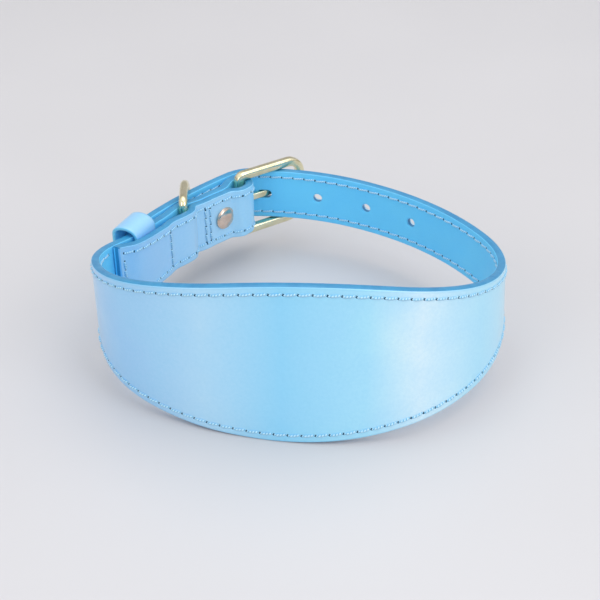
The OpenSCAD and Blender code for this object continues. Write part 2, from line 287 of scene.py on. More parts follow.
def strip_path():
    """The strap's middle line in fine steps, from the tail's tip to the flap's end."""
    tail = np.arange(TAIL_TIP, LOOP_LEN, PATH_STEP)
    main = np.arange(0, FOLD, PATH_STEP)
    flap = np.arange(FOLD, FLAP_END, -PATH_STEP)
    fold_h = heading_at(FOLD)
    turn = np.radians(np.arange(FOLD_STEP, 180, FOLD_STEP))
    fold = loop_point(FOLD, FOLD_DEPTH) + FOLD_MID_R * outward(fold_h - turn)
    plan = np.concatenate([
        loop_point(tail, 0 * tail), loop_point(main, layer_depth(main)),
        fold, loop_point(flap, flap_depth(flap)),
    ])
    place = np.concatenate([tail, main, np.full(len(turn), FOLD), flap])
    half = half_width(place)
    tip_r = STRAP_W / 2
    from_tip = np.clip(tail - TAIL_TIP, 0, tip_r)
    tip = np.sqrt(tip_r ** 2 - (tip_r - from_tip) ** 2)
    half[:len(tail)] = np.maximum(tip, TIP_BLUNT * STRAP_W)
    lean = lean_at(place)
    u = np.concatenate([[0], np.cumsum(np.linalg.norm(np.diff(plan, axis=0), axis=1))])
    tangent = unit(np.gradient(plan, axis=0))
    ends = np.cumsum([len(tail), len(main), len(turn), len(flap)])
    return SimpleNamespace(
        u=u, plan=plan, tangent=tangent, height=mid_height(place), half=half, lean=lean,
        main=(main, u[ends[0]:ends[1]]), flap=(flap[::-1], u[ends[2]:][::-1]),
        fold_start=u[ends[1]], fold_end=u[ends[2] - 1], length=u[-1],
    )


STRIP = strip_path()


def tail_u(s):
    return s - TAIL_TIP


def main_u(s):
    return np.interp(s, *STRIP.main)


def flap_u(s):
    return np.interp(s, *STRIP.flap)


def half_at(u):
    return np.interp(u, STRIP.u, STRIP.half)


def on_strip(u, v, w):
    """Points in metres at length u along the strip, height v and distance w out of its middle."""
    u, v, w = np.broadcast_arrays(*(np.asarray(a, float) for a in (u, v, w)))
    inside = np.clip(u, 0, STRIP.length)
    plan = np.stack([np.interp(inside, STRIP.u, STRIP.plan[:, k]) for k in (0, 1)], -1)
    along = unit(np.stack([np.interp(inside, STRIP.u, STRIP.tangent[:, k]) for k in (0, 1)], -1))
    out = np.stack([-along[..., 1], along[..., 0]], -1)
    lean = np.interp(inside, STRIP.u, STRIP.lean)
    shift = w + lean * (half_at(inside) - v)
    plan = plan + shift[..., None] * out + (u - inside)[..., None] * along
    height = np.interp(inside, STRIP.u, STRIP.height) + v
    return stand(np.concatenate([plan, height[..., None]], -1))


# ---------------------------------------------------------------- mesh tools

def make_mesh(name, points, faces, materials, smooth_angle, material_index=None, values=None):
    """A smooth-shaded object from points in metres; values are per-point numbers for its materials."""
    mesh = bpy.data.meshes.new(name)
    mesh.from_pydata([tuple(p) for p in points], [], [tuple(int(i) for i in f) for f in faces])
    for key, value in (values or {}).items():
        attribute = mesh.attributes.new(key, "FLOAT", "POINT")
        attribute.data.foreach_set("value", np.asarray(value, np.float32))
    if material_index is not None:
        mesh.polygons.foreach_set("material_index", np.asarray(material_index, np.int32))
    for material in materials:
        mesh.materials.append(material)
    work = bmesh.new()
    work.from_mesh(mesh)
    bmesh.ops.remove_doubles(work, verts=work.verts, dist=1e-7)
    bmesh.ops.recalc_face_normals(work, faces=work.faces)
    work.to_mesh(mesh)
    work.free()
    mesh.polygons.foreach_set("use_smooth", [True] * len(mesh.polygons))
    mesh.set_sharp_from_angle(angle=math.radians(smooth_angle))
    piece = bpy.data.objects.new(name, mesh)
    bpy.context.scene.collection.objects.link(piece)
    return piece


def finish_piece(piece, body, slot, *nodes):
    """Lets a piece ride on its body and stand for its CAD nodes; slot is not used."""
    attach(piece, body)
    if nodes:
        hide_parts(*nodes)
    return piece


def ring_faces(rings, sides, first=0, closed=False):
    """Quads between neighbouring rings of points that all have the same number of sides."""
    faces = []
    for r in range(rings if closed else rings - 1):
        a = first + r * sides
        b = first + (r + 1) % rings * sides
        for k in range(sides):
            n = (k + 1) % sides
            faces.append((a + k, a + n, b + n, b + k))
    return faces


def end_caps(rings, sides, first=0):
    """One face on the first ring of points and one on the last."""
    last = first + (rings - 1) * sides
    return [range(first, first + sides), range(last, last + sides)]


# ---------------------------------------------------------------- leather layers

# Openings sit in squares of a 1 mm grid of points
HOLE_GRID = 3
CENTRE_ROWS = np.arange(HOLE_GRID, -HOLE_GRID - 1, -1)
PRONG_HOLE_STRETCH = 1.6
PRONG_HOLE_SLANT = 0.75
SLOT_PLACE = 3.0
SLOT_HALF = 6.2
SLOT_ROOM = 0.5


def opening(u, r, half, reach, slant=0):
    """Centre, rim radius and half length of an opening, its grid's half length, and its slant."""
    return SimpleNamespace(u=u, r=r, half=half, reach=reach, slant=slant)


def strap_openings():
    """The tail's hidden hole, the prong's hole, the free holes and the fold's slot."""
    r = HOLE_D / 2
    hidden = tail_u(LOOP_LEN + FIRST_HOLE - HOLE_PITCH)
    slot = STRIP.fold_start + SLOT_PLACE
    free = [main_u(FIRST_HOLE + (k + 1) * HOLE_PITCH) for k in range(ROUND_HOLES)]
    return [
        opening(hidden, r, r, HOLE_GRID),
        opening(main_u(FIRST_HOLE), r, PRONG_HOLE_STRETCH * r, HOLE_GRID + 2, PRONG_HOLE_SLANT),
        *(opening(u, r, r, HOLE_GRID) for u in free),
        opening(slot, PRONG_W / 2 + SLOT_ROOM, SLOT_HALF, math.ceil(SLOT_HALF) + 1),
    ]


OPENINGS = strap_openings()


# Rounded top and bottom edges of a skin: (inset, level). Its two ends are rounded the same way.
ROUNDED = [(0.1, 1.2), (0.18, 1.3), (0.35, 1.375)]
ROUND_INSET = 0.6
SKIN_INSETS = [ROUND_INSET, 1.2, 1.75, 2.1, 2.5, 2.9, 3.25, 4.0]
SKIN_EDGE = ROUNDED + [(i, FACE) for i in SKIN_INSETS]
SKIN_BACK_EDGE = [(i, SKIN_BACK) for i, _ in SKIN_EDGE]
END_LIMIT = ROUNDED + [(ROUND_INSET, FACE + 1)]
PAINT_EDGE = [(-0.08, 0), (-0.07, 0.5), (-0.02, 0.95), (0.1, 1.2), (0.45, 1.2), (0.5, SKIN_BACK)]

# Lines of points across the strip, closer where the strip bends round the heel bar
END_LINES = [0, *(i for i, _ in ROUNDED), ROUND_INSET, 1.2]
FINE_FROM = STRIP.fold_start - 8
FINE_TO = STRIP.fold_end + 4
FINE_STEP = 0.7
COARSE_STEP = STITCH / 3
TOLERANCE = 0.01
NARROWEST = 0.5
BETWEEN_SHARES = [0.8, 0.6, 0.4, 0.2]


def strap_stations():
    """Lengths along the strip where the leather has a line of points."""
    marks = set(END_LINES) | {STRIP.length - e for e in END_LINES} | {FINE_FROM, FINE_TO}
    for o in OPENINGS:
        marks |= {o.u + d for d in range(-o.reach, o.reach + 1)}
    marks = sorted(marks)
    lines = [marks[0]]
    for a, b in zip(marks, marks[1:]):
        near_fold = FINE_FROM - TOLERANCE < a < FINE_TO
        count = math.ceil((b - a) / (FINE_STEP if near_fold else COARSE_STEP) - TOLERANCE)
        lines += list(np.linspace(a, b, count + 1)[1:])
    return np.array(lines)


STATIONS = strap_stations()


def row_heights(half, insets):
    """Heights of the lines of points: in from the top edge, across the middle, out to the bottom."""
    top = half[:, None] - np.array(insets)
    inner = np.maximum(top[:, -1:], NARROWEST)
    centre = np.minimum(inner, CENTRE_ROWS[:HOLE_GRID + 1])
    between = centre[:, :1] + (inner - centre[:, :1]) * np.array(BETWEEN_SHARES)
    upper = np.concatenate([top, between, centre], 1)
    return np.concatenate([upper, -upper[:, -2::-1]], 1)


# Relief of the leather's surface
GROOVE_DEPTH = 0.1
GROOVE_HALF = 0.45
GROOVE_PULL = (0.8, 0.35)
CREASE_DEPTH = 0.09
CREASE_PITCH = 2.9
CREASE_SKEW = 0.04
CREASE_MIDDLE = tail_u(LOOP_LEN) - 1
FOLD_CREASE_DEPTH = 0.06
FOLD_CREASE_PITCH = 2.1
FOLD_CREASE_MIDDLE = STRIP.fold_start + 6
CREASED_HALF = 9.0


def relief(u, v):
    """Stitch grooves, and creases where the strap bends past the buckle and round the fold."""
    inset = half_at(u) - np.abs(v)
    even, swing = GROOVE_PULL
    pull = even + swing * np.cos(2 * np.pi * u / STITCH)
    groove = -GROOVE_DEPTH * pull * np.exp(-((inset - SEAM_INSET) / GROOVE_HALF) ** 2)
    crease = CREASE_DEPTH * np.sin(2 * np.pi * u / CREASE_PITCH + CREASE_SKEW * v)
    crease = crease * hump(u - CREASE_MIDDLE, CREASED_HALF)
    fold = FOLD_CREASE_DEPTH * np.sin(2 * np.pi * u / FOLD_CREASE_PITCH)
    fold = fold * hump(u - FOLD_CREASE_MIDDLE, CREASED_HALF)
    return groove + crease + fold


def layer_side(edge, flat, side, has_relief):
    """Points and levels of one side of a layer. edge lists (inset, level) from the strap's edge in."""
    u = STATIONS
    v = row_heights(half_at(u), [inset for inset, _ in edge])
    levels = [level for _, level in edge]
    middle = v.shape[1] - 2 * len(levels)
    w = np.tile(levels + [flat] * middle + levels[::-1], (len(u), 1))
    to_end = np.minimum(u, STRIP.length - u)[:, None]
    if has_relief:
        w = w + relief(u[:, None], v)
        w = np.minimum(w, np.interp(to_end, *zip(*END_LIMIT)))
    return np.broadcast_to(u[:, None], v.shape), v, side * w


# Rings of points round a hole: (share of the way to its rim, how far the leather has dropped)
RIM_RINGS = [(0.45, 0.0), (0.85, 0.02), (1.0, 0.14)]


def opening_rings(o, flat, side, has_relief):
    """Rings of points that lead from the square of grid points round a hole to its rim."""
    lines = o.u + np.arange(-o.reach, o.reach + 1)
    ring = [(x, CENTRE_ROWS[0]) for x in lines]
    ring += [(lines[-1], y) for y in CENTRE_ROWS[1:]]
    ring += [(x, CENTRE_ROWS[-1]) for x in lines[-2::-1]]
    ring += [(lines[0], y) for y in CENTRE_ROWS[-2:0:-1]]
    ring = np.array(ring, float)
    centre = o.u + o.slant * side * FACE
    core = np.clip(ring[:, 0] - centre, -(o.half - o.r), o.half - o.r) + centre
    away = np.stack([ring[:, 0] - core, ring[:, 1]], 1)
    rim = np.stack([core, 0 * core], 1) + o.r * unit(away)
    rings = []
    for share, drop in RIM_RINGS:
        u, v = (ring + share * (rim - ring)).T
        w = flat + has_relief * (relief(u, v) - drop)
        rings.append((u, v, side * w))
    return rings


def square_indices(i0, i1, r0, r1, rows):
    """Grid indices round a hole, in the same order as opening_rings."""
    ring = [i * rows + r0 for i in range(i0, i1 + 1)]
    ring += [i1 * rows + r for r in range(r0 + 1, r1 + 1)]
    ring += [i * rows + r1 for i in range(i1 - 1, i0 - 1, -1)]
    ring += [i0 * rows + r for r in range(r1 - 1, r0, -1)]
    return ring


def bridge(a, b):
    """Quads between two closed rings of point numbers."""
    return [(a[k - 1], a[k], b[k], b[k - 1]) for k in range(len(a))]


def sheet_faces(count, rows, cut):
    """Both sides of a layer and the rim that joins them, without the squares that are cut out."""
    faces = []
    second = count * rows
    for i in range(count - 1):
        a, b = i * rows, (i + 1) * rows
        for r in range(rows - 1):
            if (i, r) not in cut:
                faces.append((a + r, b + r, b + r + 1, a + r + 1))
                faces.append((second + a + r, second + a + r + 1, second + b + r + 1, second + b + r))
        for r in (0, rows - 1):
            faces.append((a + r, b + r, second + b + r, second + a + r))
    for i in (0, count - 1):
        a = i * rows
        faces += [(a + r, a + r + 1, second + a + r + 1, second + a + r) for r in range(rows - 1)]
    return faces


class LayerPoints:
    """Growing lists of the strip coordinates u, v and w of a layer's points."""

    def __init__(self, sides):
        self.columns = [list(np.concatenate([s[k].ravel() for s in sides])) for k in range(3)]

    def add(self, *columns):
        """Adds points and returns the number of the first one."""
        start = len(self.columns[0])
        for column, values in zip(self.columns, columns):
            column.extend(values)
        return start


def leather_layer(name, outer, inner, materials, pits=()):
    """A closed layer of the strap. outer and inner are (edge, flat, side, has_relief)."""
    sides = [layer_side(*outer), layer_side(*inner)]
    points = LayerPoints(sides)
    count, rows = sides[0][0].shape
    r0, r1 = rows // 2 - HOLE_GRID, rows // 2 + HOLE_GRID
    cut = set()
    faces = []
    for o in OPENINGS:
        i0 = int(np.argmin(np.abs(STATIONS - (o.u - o.reach))))
        i1 = i0 + 2 * o.reach
        cut |= {(i, r) for i in range(i0, i1) for r in range(r0, r1)}
        square = square_indices(i0, i1, r0, r1, rows)
        rims = []
        for first, (_, flat, side, has_relief) in zip((0, count * rows), (outer, inner)):
            ring = [first + k for k in square]
            for columns in opening_rings(o, flat, side, has_relief):
                start = points.add(*columns)
                nearer = list(range(start, start + len(ring)))
                faces += bridge(ring, nearer)
                ring = nearer
            rims.append(ring)
        faces += bridge(*rims)
    faces += sheet_faces(count, rows, cut)
    index = [0] * len(faces)
    # Flat discs of painted shade at the needle holes take the second material.
    for *columns, pit in pits:
        start = points.add(*columns)
        faces.append([start + k for k in pit])
        index.append(1)
    u, v, w = (np.array(column) for column in points.columns)
    values = {"inset": half_at(u) - np.abs(v)}
    return make_mesh(name, on_strip(u, v, w), faces, materials, SMOOTH_SOFT, index, values)


# ---------------------------------------------------------------- stitches

def seam_needles(first, last, row_side, level):
    """Needle holes (u, v) an even stitch apart along a seam line, counted back from its end."""
    u = np.arange(first, last, PATH_STEP)
    v = row_side * (half_at(u) - SEAM_INSET)
    line = on_strip(u, v, level) / MM
    length = np.concatenate([[0], np.cumsum(np.linalg.norm(np.diff(line, axis=0), axis=1))])
    marks = np.arange(length[-1] % STITCH, length[-1] + TOLERANCE, STITCH)
    at = np.interp(marks, length, u)
    return np.stack([at, row_side * (half_at(at) - SEAM_INSET)], 1)


CROSS_STITCHES = 4
CROSS_GAP = 0.8


def cross_needles(u):
    """Needle holes of a row straight across the strap."""
    reach = STRAP_W / 2 - SEAM_INSET - CROSS_GAP
    return np.array([(u, v) for v in np.linspace(-reach, reach, CROSS_STITCHES + 1)])


# One stitch: share of its length, height over the leather, thickness against the thread's
STITCH_SIDES = 8
STITCH_SHAPE = [
    (0.0, -0.55, 1), (0.08, -0.15, 1), (0.18, 0.13, 1), (0.33, 0.22, 1.08), (0.5, 0.24, 1.1),
    (0.67, 0.22, 1.08), (0.82, 0.13, 1), (0.92, -0.15, 1), (1.0, -0.55, 1),
]
STITCH_SLANT = 0.5
STITCH_FLATNESS = 0.85
TWIST_LEN = 0.9


def stitch_points(a, step, level, side, angle):
    """Rings of points of the stitch from needle hole a to a + step."""
    share, lift, thickness = np.array(STITCH_SHAPE).T
    across = unit(np.array([-step[1], step[0]]))
    slant = STITCH_SLANT * (0.5 - share) * side
    u, v = (a + share[:, None] * step + slant[:, None] * across).T
    height = level + side * (relief(u, v) + lift)
    line = on_strip(u, v, height)
    up = unit(on_strip(u, v, height + side) - line)
    tangent = unit(np.gradient(line, axis=0))
    beside = unit(np.cross(tangent, up))
    over = np.cross(beside, tangent)
    r = (THREAD_R * MM * thickness)[:, None, None]
    turned = STITCH_FLATNESS * np.cos(angle)[:, None] * over[:, None]
    turned = turned + np.sin(angle)[:, None] * beside[:, None]
    return (line[:, None] + r * turned).reshape(-1, 3)


def stitches(name, rows, material):
    """One object with every stitch of some rows. rows are (needles, level, side)."""
    points, faces, twist = [], [], []
    angle = np.linspace(0, 2 * np.pi, STITCH_SIDES, endpoint=False)
    share = np.array(STITCH_SHAPE)[:, 0]
    for needles, level, side in rows:
        for a, b in zip(needles, needles[1:]):
            start = len(points)
            points.extend(stitch_points(a, b - a, level, side, angle))
            faces += ring_faces(len(share), STITCH_SIDES, start)
            faces += end_caps(len(share), STITCH_SIDES, start)
            along = share[:, None] * np.linalg.norm(b - a) / TWIST_LEN
            twist.extend((along + angle / (2 * np.pi)).ravel())
    return make_mesh(name, points, faces, [material], SMOOTH_HARD, values={"twist": twist})


PIT_SIDES = 10
PIT_HALF_LEN = 0.56
PIT_HALF_W = 0.38
PIT_SLANT = (0.8, 0.6)
PIT_LIFT = 0.035


def pit_discs(needles, level, side):
    """Flat discs of painted shade at the needle holes, standing in for the shade inside them: u, v and
    w of each one's rim, and its face.
    """
    angle = np.linspace(0, 2 * np.pi, PIT_SIDES, endpoint=False)[:, None]
    found = []
    for n, needle in enumerate(needles):
        before = needles[max(n - 1, 0)]
        after = needles[min(n + 1, len(needles) - 1)]
        along = unit(after - before)
        across = np.array([-along[1], along[0]])
        lean = PIT_SLANT[0] * along + PIT_SLANT[1] * across * side
        beside = np.array([-lean[1], lean[0]])
        rim = needle + PIT_HALF_LEN * np.cos(angle) * lean + PIT_HALF_W * np.sin(angle) * beside
        u, v = rim.T
        found.append((u, v, level + side * (relief(u, v) + PIT_LIFT), range(PIT_SIDES)))
    return found


# ---------------------------------------------------------------- metal and keeper

def local_points(origin, heading, height, points):
    """Puts points of a frame with X along the heading, Y outward and Z up onto the collar."""
    x, y, z = np.moveaxis(np.asarray(points, float), -1, 0)
    c, s = math.cos(heading), math.sin(heading)
    return stand(np.stack([origin[0] + x * c - y * s, origin[1] + x * s + y * c, height + z], -1))


def arc(centre, radius, start, end, count):
    """Points of an arc in the XZ plane, angles in degrees from +X towards +Z."""
    a = np.radians(np.linspace(start, end, count))
    return [(centre[0] + radius * math.cos(t), centre[1] + radius * math.sin(t)) for t in a]


def line_points(a, b, count):
    """Inner points of a straight stretch."""
    return [tuple(np.array(a) + (np.array(b) - np.array(a)) * k / count) for k in range(1, count)]


def path_normals(path):
    """Unit normals of a closed path, out of it."""
    tangent = unit(np.roll(path, -1, 0) - np.roll(path, 1, 0))
    return np.stack([tangent[:, 1], -tangent[:, 0]], 1)


def closed_wire(path, section):
    """Sweeps a section (in plane, out of plane) along a closed path in the XZ plane."""
    path = np.array(path)
    normal = path_normals(path)
    a, b = np.array(section).T
    x = path[:, :1] + normal[:, :1] * a
    z = path[:, 1:] + normal[:, 1:] * a
    y = np.broadcast_to(b, x.shape)
    points = np.stack([x, y, z], -1).reshape(-1, 3)
    return points, ring_faces(len(path), len(section), 0, closed=True)


def superellipse(a, b, power, count):
    """A rounded-square section: power 2 is an ellipse, higher is squarer."""
    t = np.linspace(0, 2 * np.pi, count, endpoint=False)
    c, s = np.cos(t), np.sin(t)
    return np.stack([
        a * np.sign(c) * np.abs(c) ** (2 / power),
        b * np.sign(s) * np.abs(s) ** (2 / power),
    ], 1)


# Points along the metal pieces and round their sections
HEEL_STEPS = 12
CORNER_STEPS = 9
FRAME_LEG_STEPS = 12
FAR_CORNER_STEPS = 14
FAR_STEPS = 10
RING_LEG_STEPS = 8
RING_BOW_STEPS = 60
EYE_STEPS = 40
BLADE_STEPS = 30
DOME_STEPS = 9
FRAME_SIDES = 28
RING_SIDES = 24
PRONG_SIDES = 20
CAP_SIDES = 56

# Points along the keeper's sides and ends and across its face
KEEPER_STEPS = 14
KEEPER_END_STEPS = 25
CROWN_POINTS = 7
INSET_MOST = 3

FOLD_HEADING = float(heading_at(FOLD))
FOLD_HEIGHT = float(mid_height(FOLD))


def wire_path(side, corner, leg_end, leg_steps, bow):
    """A bent wire's path: straight heel, rounded corners, two legs and the bow between them."""
    path = line_points((0, corner - side), (0, side - corner), HEEL_STEPS)
    path += arc((corner, side - corner), corner, 180, 90, CORNER_STEPS)
    path += line_points((corner, side), (leg_end, side), leg_steps)
    path += bow
    path += line_points((leg_end, -side), (corner, -side), leg_steps)
    path += arc((corner, corner - side), corner, 270, 180, CORNER_STEPS)
    return path


def on_heel_bar(name, points, faces, material):
    """A piece whose points are measured from the heel bar, pulled tight in the fold."""
    slack = FOLD_R - WIRE_D / 2 - BAR_ROOM
    toward = FOLD_HEADING + math.radians(BAR_PULL)
    origin = loop_point(FOLD, FOLD_DEPTH) + slack * np.array([math.cos(toward), math.sin(toward)])
    heading = FOLD_HEADING + math.radians(FRAME_TURN)
    points = local_points(origin, heading, FOLD_HEIGHT, points)
    return make_mesh(name, points, faces, [material], SMOOTH_HARD)


def buckle_frame(material):
    """Flattened wire bent to a rounded rectangle, with crisp bevelled faces."""
    side = STRAP_W / 2 + FRAME_ROOM + WIRE_D / 2
    r = FRAME_FAR_R
    leg_end = FRAME_REACH - r
    bow = arc((leg_end, side - r), r, 90, 0, FAR_CORNER_STEPS)
    bow += line_points((FRAME_REACH, side - r), (FRAME_REACH, r - side), FAR_STEPS)
    bow += arc((leg_end, r - side), r, 0, -90, FAR_CORNER_STEPS)
    path = wire_path(side, FRAME_HEEL_R, leg_end, FRAME_LEG_STEPS, bow)
    section = superellipse(WIRE_D / 2, WIRE_D / 2, WIRE_SQUARENESS, FRAME_SIDES)
    points, faces = closed_wire(path, section)
    return on_heel_bar("buckle_frame_wire", points, faces, material)


def buckle_prong(material):
    """Flat prong: its eye wraps the heel bar and its blade tapers to a rounded tip."""
    middle = WIRE_D / 2 + EYE_GAP + PRONG_T / 2
    reach = FRAME_REACH + PRONG_PAST
    eye = arc((0, 0), middle, EYE_END, 90, EYE_STEPS)
    blade = [(reach * k / BLADE_STEPS, middle) for k in range(1, BLADE_STEPS + 1)]
    path = np.array(eye + blade)
    tangent = unit(np.gradient(path, axis=0))
    normal = np.stack([-tangent[:, 1], tangent[:, 0]], 1)
    on_blade = np.arange(len(path)) >= len(eye)
    share = np.where(on_blade, np.clip(path[:, 0] / reach, 0, 1), 0)
    to_tip = np.where(on_blade, np.clip((reach - path[:, 0]) / PRONG_TIP, 0, 1), 1)
    width = PRONG_W * (1 - PRONG_TAPER * share ** 2)
    width = width * np.sqrt(np.maximum(1 - (1 - to_tip) ** 2, TIP_LEAST))
    thick = PRONG_T * (1 - PRONG_THINNING * share)
    section = superellipse(1, 1, PRONG_SQUARENESS, PRONG_SIDES)
    points = [
        (*(p + n * a * t / 2), b * w / 2)
        for p, n, w, t in zip(path, normal, width, thick) for a, b in section
    ]
    faces = ring_faces(len(path), len(section)) + end_caps(len(path), len(section))
    return on_heel_bar("prong_blade", points, faces, material)


def lead_ring(material):
    """Round wire: straight bar, two legs and a half-round bow."""
    side = STRAP_W / 2 + RING_ROOM + RING_D / 2
    bow = arc((RING_LEG, 0), side, 90, -90, RING_BOW_STEPS)
    path = wire_path(side, RING_CORNER_R, RING_LEG, RING_LEG_STEPS, bow)
    points, faces = closed_wire(path, superellipse(RING_D / 2, RING_D / 2, 2, RING_SIDES))
    depth = layer_depth(RING) + STRAP_T / 2 + RING_POCKET / 2
    heading = float(heading_at(RING)) + math.radians(RING_SWING)
    points = local_points(loop_point(RING, depth), heading, float(mid_height(RING)), points)
    return make_mesh("lead_ring_wire", points, faces, [material], SMOOTH_HARD)


def rivet_dome(name, base, direction, material):
    """A pressed cap: shallow dome, fine groove and rolled rim, on local Y = base."""
    shares = np.arange(1, DOME_STEPS + 1) / DOME_STEPS
    profile = [(DOME_R * share, 1 - DOME_DROP * share ** DOME_POWER) for share in shares]
    profile = [(APEX_R, CAP_H)] + [(r * CAP_D / 2, h * CAP_H) for r, h in profile + CAP_RIM]
    angle = np.linspace(0, 2 * np.pi, CAP_SIDES, endpoint=False)
    points = [
        (r * math.cos(t), base + direction * h, r * math.sin(t)) for r, h in profile for t in angle
    ]
    faces = ring_faces(len(profile), CAP_SIDES) + end_caps(len(profile), CAP_SIDES)
    origin = loop_point(RIVET, 0.0)
    points = local_points(origin, float(heading_at(RIVET)), float(mid_height(RIVET)), points)
    return make_mesh(name, points, faces, [material], SMOOTH_SOFT)


def keeper_end(radius, height, start):
    """Half-oval turn of the keeper over one edge of the strap."""
    a = np.radians(np.linspace(start, start + 180, KEEPER_END_STEPS))
    return [(radius * math.cos(t), height + KEEPER_RISE * math.sin(t)) for t in a]


def keeper_section():
    """Face, edge, back and rim of the keeper's band, as (x along the strap, thickness)."""
    end = KEEPER_LEN / 2
    near = end - KEEPER_CORNER
    across = np.linspace(1 - end, end - 1, CROWN_POINTS)
    crown = [(x, KEEPER_T + KEEPER_CROWN * (1 - (x / end) ** 2)) for x in across]
    shoulder = KEEPER_T - KEEPER_SHOULDER
    face = [(-near, shoulder), (KEEPER_LIP - end, KEEPER_T)]
    face += crown
    face += [(end - KEEPER_LIP, KEEPER_T), (near, shoulder)]
    edge = [(end, 0.75 * KEEPER_T), (end + 0.03, 0.5 * KEEPER_T), (end, 0.25 * KEEPER_T)]
    back = [(near, 0.08), (end - 0.4, 0), (0.4 - end, 0), (-near, 0.08)]
    rim = [(-x, t) for x, t in edge[::-1]]
    return face, edge, back, rim


def keeper_loop(face_material, edge_material, back_material):
    """Leather band round the strap, with rounded painted edges."""
    inside = -float(layer_depth(KEEPER)) - KEEPER_IN
    radius = (KEEPER_OUT - inside) / 2
    side = float(half_width(KEEPER)) + KEEPER_ROOM
    path = line_points((radius, -side), (radius, side), KEEPER_STEPS)
    path += keeper_end(radius, side, 0)
    path += line_points((-radius, side), (-radius, -side), KEEPER_STEPS)
    path += keeper_end(radius, -side, 180)
    path = np.array(path)
    face, edge, back, rim = keeper_section()
    section = face + edge + back + rim
    middle = (KEEPER_OUT + inside) / 2
    points = [
        (x, n[0] * t + p[0] + middle, p[1] + n[1] * t)
        for p, n in zip(path, path_normals(path)) for x, t in section
    ]
    faces = ring_faces(len(path), len(section), 0, closed=True)
    kinds = [0] * (len(face) - 1) + [1] * (len(edge) + 1) + [2] * (len(back) - 1) + [1] * (len(rim) + 1)
    inset = [min(KEEPER_LEN / 2 - abs(x), INSET_MOST) for _ in path for x, _ in section]
    origin = loop_point(KEEPER, 0.0)
    points = local_points(origin, float(heading_at(KEEPER)), float(mid_height(KEEPER)), points)
    materials = [face_material, edge_material, back_material]
    return make_mesh(
        "keeper_band", points, faces, materials, SMOOTH_SOFT, kinds * len(path), {"inset": inset},
    )


# ---------------------------------------------------------------- materials

NOISE_ROUGHNESS = 0.55


class Shader:
    """Small helper that builds a node material."""

    def __init__(self, name, **inputs):
        self.material = bpy.data.materials.new(name)
        self.material.use_nodes = True
        self.tree = self.material.node_tree
        self.surface = self.tree.nodes["Principled BSDF"]
        self.position = self.add("ShaderNodeTexCoord").outputs["Object"]
        for key, value in inputs.items():
            self.surface.inputs[key.replace("_", " ")].default_value = value

    def add(self, kind, **settings):
        node = self.tree.nodes.new(kind)
        for key, value in settings.items():
            setattr(node, key, value)
        return node

    def link(self, source, target):
        self.tree.links.new(source, target)

    def noise(self, size_mm, detail, stretch=(1, 1, 1)):
        """Noise with features of about that size in millimetres."""
        mapping = self.add("ShaderNodeMapping")
        mapping.inputs["Scale"].default_value = stretch
        self.link(self.position, mapping.inputs["Vector"])
        node = self.add("ShaderNodeTexNoise")
        node.inputs["Scale"].default_value = 1 / (size_mm * MM)
        node.inputs["Detail"].default_value = detail
        node.inputs["Roughness"].default_value = NOISE_ROUGHNESS
        self.link(mapping.outputs["Vector"], node.inputs["Vector"])
        return node.outputs["Fac"]

    def cells(self, size_mm):
        """Distance to the nearest of scattered points, for pebble grain and pores."""
        node = self.add("ShaderNodeTexVoronoi")
        node.inputs["Scale"].default_value = 1 / (size_mm * MM)
        self.link(self.position, node.inputs["Vector"])
        return node.outputs["Distance"]

    def attribute(self, name):
        node = self.add("ShaderNodeAttribute", attribute_name=name)
        return node.outputs["Fac"]

    def ramp(self, source, stops):
        node = self.add("ShaderNodeValToRGB")
        elements = node.color_ramp.elements
        while len(elements) < len(stops):
            elements.new(0.5)
        for element, (place, colour) in zip(elements, stops):
            element.position = place
            element.color = colour if len(colour) == 4 else (*colour, 1)
        self.link(source, node.inputs["Fac"])
        return node.outputs["Color"]

    def spread(self, source, low, high, to_low=0.0, to_high=1.0):
        """Maps the range low to high onto the range to_low to to_high."""
        node = self.add("ShaderNodeMapRange")
        limits = {"From Min": low, "From Max": high, "To Min": to_low, "To Max": to_high}
        for key, value in limits.items():
            node.inputs[key].default_value = value
        self.link(source, node.inputs["Value"])
        return node.outputs["Result"]

    def mix(self, share, a, b):
        """Mixes two colours; each is a socket or a colour."""
        node = self.add("ShaderNodeMix", data_type="RGBA", blend_type="MIX")
        sockets = node.inputs["Factor"], node.inputs[6], node.inputs[7]
        for socket, value in zip(sockets, (share, a, b)):
            if isinstance(value, bpy.types.NodeSocket):
                self.link(value, socket)
            else:
                socket.default_value = value if isinstance(value, float) else (*value, 1)
        return node.outputs[2]

    def bump(self, height, depth_mm, strength):
        """Adds a bump of that depth on top of any bump already there."""
        node = self.add("ShaderNodeBump")
        node.inputs["Strength"].default_value = strength
        node.inputs["Distance"].default_value = depth_mm * MM
        self.link(height, node.inputs["Height"])
        socket = self.surface.inputs["Normal"]
        if socket.links:
            self.link(socket.links[0].from_socket, node.inputs["Normal"])
        self.link(node.outputs["Normal"], socket)

    def colour(self, socket):
        self.link(socket, self.surface.inputs["Base Color"])

    def rough(self, source, low, high):
        """Roughness that wanders between low and high."""
        self.link(self.spread(source, 0.3, 0.7, low, high), self.surface.inputs["Roughness"])


def srgb(*levels):
    """Linear colour of red, green and blue sRGB levels from 11 to 255."""
    return tuple(((level / 255 + 0.055) / 1.055) ** 2.4 for level in levels)


